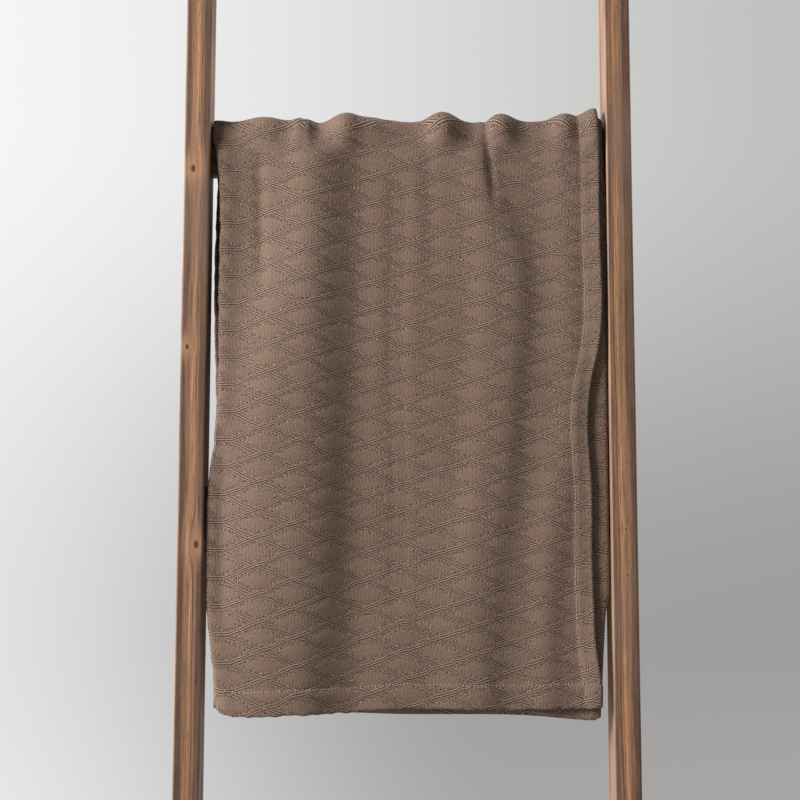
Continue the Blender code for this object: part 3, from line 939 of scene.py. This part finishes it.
# Each rail's tone, its rings' width, its pith as measured from the rail's middle and the rung's top, and its
# knots: place up the rail from the rung's top, place across from the rail's middle, and size.
RAIL_PINE = {
    "left_rail": (1.10, .0150, (-.055, .035),
                  [(-.061, -.0045, .0048), (-.287, -.0080, .0036), (-.530, .0075, .0050), (.330, .002, .0050),
                   (-.940, -.003, .0045)]),
    # The right rail is the same wood as the left; its higher tone is painted light, lightening it to make up
    # for the light that falls off towards the right.
    "right_rail": (1.42, .0140, (.050, .045),
                   [(-.510, .0015, .0016), (-.566, .0022, .0016), (.260, -.004, .0048),
                    (-.860, .005, .0042)]),
}
# The rungs' low tone is painted shade: they are darkened below the rails because the rung beside the throw
# lies in its shadow.
RUNG_SHADE_TONE = 0.62
RUNG_RING = 0.0150
PLUG_TONE = 0.78
PLUG_RING = 0.006
SIDEWAYS = (1.0, 0.0, 0.0)


def rail_pine(node):
    """The grain runs up the rail. Both rails are as wide as the left one."""
    tone, ring, pith, knots = RAIL_PINE[node]
    low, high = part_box("left_rail")
    middle = ladder.centre(node).x
    height, depth = ladder.rung_top.dot(ladder.up), ladder.rung_top.dot(ladder.back)
    placed = [(height + above, middle + aside, size) for above, aside, size in knots]
    return pine(f"stained pine, {node.replace('_', ' ')}", tuple(ladder.up), (SIDEWAYS, tuple(ladder.back)),
                (middle + pith[0], depth + pith[1]), ring, placed, tone, (middle, (high.x - low.x) / 2))


def rung_pine(node, number):
    """Each rung has its pith and its one knot in another place."""
    middle = ladder.centre(node)
    height, depth = middle.dot(ladder.up), middle.dot(ladder.back)
    pith = (height - .045 - .006 * number, depth + .030)
    knots = [(-.19 + .11 * number, height + .012 - .006 * number, .0045)]
    return pine(f"stained pine, {node}", SIDEWAYS, (tuple(ladder.up), tuple(ladder.back)), pith, RUNG_RING,
                knots, RUNG_SHADE_TONE)


def plug_pine(node):
    """The rings as they run in the named plug."""
    middle = ladder.centre(node)
    pith = (middle.dot(ladder.up) - .02, middle.y + .03)
    return pine("stained pine, plugs", tuple(ladder.back), (tuple(ladder.up), SIDEWAYS), pith, PLUG_RING,
                (), PLUG_TONE)


def dress_ladder(nodes):
    """Gives every node of the ladder its material. The plugs share one, and so do the screws and the pads."""
    def called(*beginnings):
        return [node for name, node in nodes.items() if name.startswith(beginnings)]

    for rail in RAIL_PINE:
        give(rail_pine(rail), nodes[rail])
    for number in range(1, 5):
        rung = f"rung_{number}"
        give(rung_pine(rung, number), nodes[rung])
    plugs = called("plug_")
    give(plug_pine(plugs[0].name), *plugs)
    give(zinc_steel("zinc-plated steel"), *called("screw_"))
    give(rubber("black rubber"), *called("foot_pad", "wall_bumper"))


# ------------------------------------------------------------------ stage, lights, camera

FLOOR_FRONT = -9.0
FLOOR_BACK = 3.4
SWEEP_RADIUS = 6.5
SWEEP_STEPS = 24
BACKDROP_TOP = 9.0
STAGE_HALF_WIDTH = 14.0
PAINT = ((.33, .33, .33), (.20, .20, .20))
BACKDROP_PAINT = (.10, .10, .10)
# How the stage glows: the floor near the object and far from it, then the backdrop's left and right, high up
# and low down.
FLOOR_GLOW = ((.27, .27, .27), (.40, .40, .40))
HIGH_GLOW = ((.90, .905, .905), (.49, .485, .48))
LOW_GLOW = ((.735, .73, .735), (.295, .285, .28))

WINDOW = {"place": (-2.34, -1.00, 1.95), "size": (1.1, 1.4), "watts": 154, "colour": (1.0, .985, .965)}
BACK_FILL = {"place": (3.0, 1.5, 2.3), "size": (1.4, 1.4), "watts": 62, "colour": (.97, .985, 1.0)}
LIT_BELOW_RUNG = 0.36
ROOM_LIGHT = 0.09
ROOM_COLOUR = (.93, .96, 1.0, 1)
ROOM_SEEN = (.42, .42, .42, 1)

CAMERA_PLACE = (-.0462, -2.4098, .8185)
CAMERA_TURN_RIGHT = math.radians(.879)
CAMERA_TILT_UP = math.radians(.085)
CAMERA_ROLL = math.radians(.239)
LENS = 86.67
SENSOR = 36.0


def studio_paint_and_glow(name):
    """Pale paint that glows a little, as painted light; on the backdrop the glow is a painted beam of window
    light, with painted shade towards the lower right.
    """
    g = Graph(name, 0.9, Specular_IOR_Level=0.1, Emission_Strength=1.0)
    place = g.place()
    x, y, z = g.separate(place)
    speckle = g.noise(place, 40.0, 3.0, 0.6)
    on_backdrop = g.step(0.5, 1.6, y)
    g.colour(g.mix(on_backdrop, g.mix(g.math("MULTIPLY", speckle, 0.06), *PAINT), BACKDROP_PAINT))
    # The backdrop's glow is painted light, a beam from the window that widens with the distance; its dimmer
    # lower right is painted shade. The floor glows more far from the object, also as painted light.
    half_beam = g.math("MULTIPLY_ADD", y, 0.266, 0.77)
    sideways = g.math("DIVIDE", g.math("SUBTRACT", x, 0.1), half_beam)
    above = g.math("MULTIPLY_ADD", g.math("SUBTRACT", y, 9.9), 0.25, z)
    high = g.mix(g.step(-1.0, 1.0, sideways), *HIGH_GLOW)
    low = g.mix(g.step(-0.95, 0.15, sideways), *LOW_GLOW)
    backdrop_glow = g.mix(g.step(-1.9, 2.1, above), low, high)
    floor_glow = g.mix(g.step(1.6, 6.5, g.distance(x, y)), *FLOOR_GLOW)
    g.feed(g.shader.inputs["Emission Color"], g.mix(on_backdrop, floor_glow, backdrop_glow))
    return g.material


def make_stage():
    """A pale studio floor that sweeps up into a plain backdrop far behind the object."""
    profile = [(FLOOR_FRONT, 0.0), (FLOOR_BACK, 0.0)]
    for k in range(1, SWEEP_STEPS + 1):
        a = math.pi / 2 * k / SWEEP_STEPS
        profile.append((FLOOR_BACK + SWEEP_RADIUS * math.sin(a), SWEEP_RADIUS * (1 - math.cos(a))))
    profile.append((FLOOR_BACK + SWEEP_RADIUS, BACKDROP_TOP))
    mesh = bpy.data.meshes.new("studio_sweep")
    verts = [(x, y, z) for y, z in profile for x in (-STAGE_HALF_WIDTH, STAGE_HALF_WIDTH)]
    faces = [(2 * k, 2 * k + 1, 2 * k + 3, 2 * k + 2) for k in range(len(profile) - 1)]
    mesh.from_pydata(verts, [], faces)
    mesh.polygons.foreach_set("use_smooth", np.ones(len(faces), bool))
    floor = bpy.data.objects.new("studio_sweep", mesh)
    bpy.context.scene.collection.objects.link(floor)
    give(studio_paint_and_glow("pale painted studio"), floor)


def area_light(name, target, place, size, watts, colour):
    data = bpy.data.lights.new(name, "AREA")
    data.shape = "RECTANGLE"
    data.size, data.size_y = size
    data.energy = watts
    data.color = colour
    lamp = bpy.data.objects.new(name, data)
    lamp.location = place
    lamp.visible_camera = False
    lamp.rotation_euler = (Vector(target) - Vector(place)).to_track_quat("-Z", "Y").to_euler()
    bpy.context.scene.collection.objects.link(lamp)


def make_lights():
    """A large window to the left, a weaker light behind on the right, and a little light from all round."""
    middle = ladder.rung_top - ladder.up * LIT_BELOW_RUNG
    area_light("window", middle, **WINDOW)
    area_light("back fill", middle, **BACK_FILL)
    make_room_light()


def make_room_light():
    """A weak even light from all round, in front of a background that looks as pale as the floor."""
    world = bpy.data.worlds.new("soft room")
    bpy.context.scene.world = world
    world.use_nodes = True
    tree = world.node_tree
    light = tree.nodes["Background"]
    light.inputs["Color"].default_value = ROOM_COLOUR
    light.inputs["Strength"].default_value = ROOM_LIGHT
    seen = tree.nodes.new("ShaderNodeBackground")
    seen.inputs["Color"].default_value = ROOM_SEEN
    which = tree.nodes.new("ShaderNodeMixShader")
    ray = tree.nodes.new("ShaderNodeLightPath")
    tree.links.new(ray.outputs["Is Camera Ray"], which.inputs[0])
    tree.links.new(light.outputs[0], which.inputs[1])
    tree.links.new(seen.outputs[0], which.inputs[2])
    tree.links.new(which.outputs[0], tree.nodes["World Output"].inputs["Surface"])


def make_camera():
    """Level, in front of the throw and a little to its left, at the height of a seated viewer's eye."""
    data = bpy.data.cameras.new("camera")
    data.sensor_width = SENSOR
    data.lens = LENS
    data.clip_end = 60.0
    camera = bpy.data.objects.new("camera", data)
    turn = (Matrix.Rotation(-CAMERA_TURN_RIGHT, 4, "Z")
            @ Matrix.Rotation(math.pi / 2 + CAMERA_TILT_UP, 4, "X")
            @ Matrix.Rotation(CAMERA_ROLL, 4, "Z"))
    camera.matrix_world = Matrix.Translation(Vector(CAMERA_PLACE)) @ turn
    bpy.context.scene.collection.objects.link(camera)
    bpy.context.scene.camera = camera


# ------------------------------------------------------------------ put it together

make_camera()
make_stage()
make_lights()
bpy.context.scene.view_settings.view_transform = "Standard"

dress_ladder(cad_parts)

shape = Throw()
throw, surface, across, along = make_throw(shape)
give(cotton("taupe jacquard cotton"), throw)
stitching = make_stitches(surface, across, along, shape)
give(thread("sewing thread"), stitching)
for piece in (throw, stitching):
    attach(piece, "throw")
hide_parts("throw_front_drop", "throw_top_fold", "throw_back_drop")
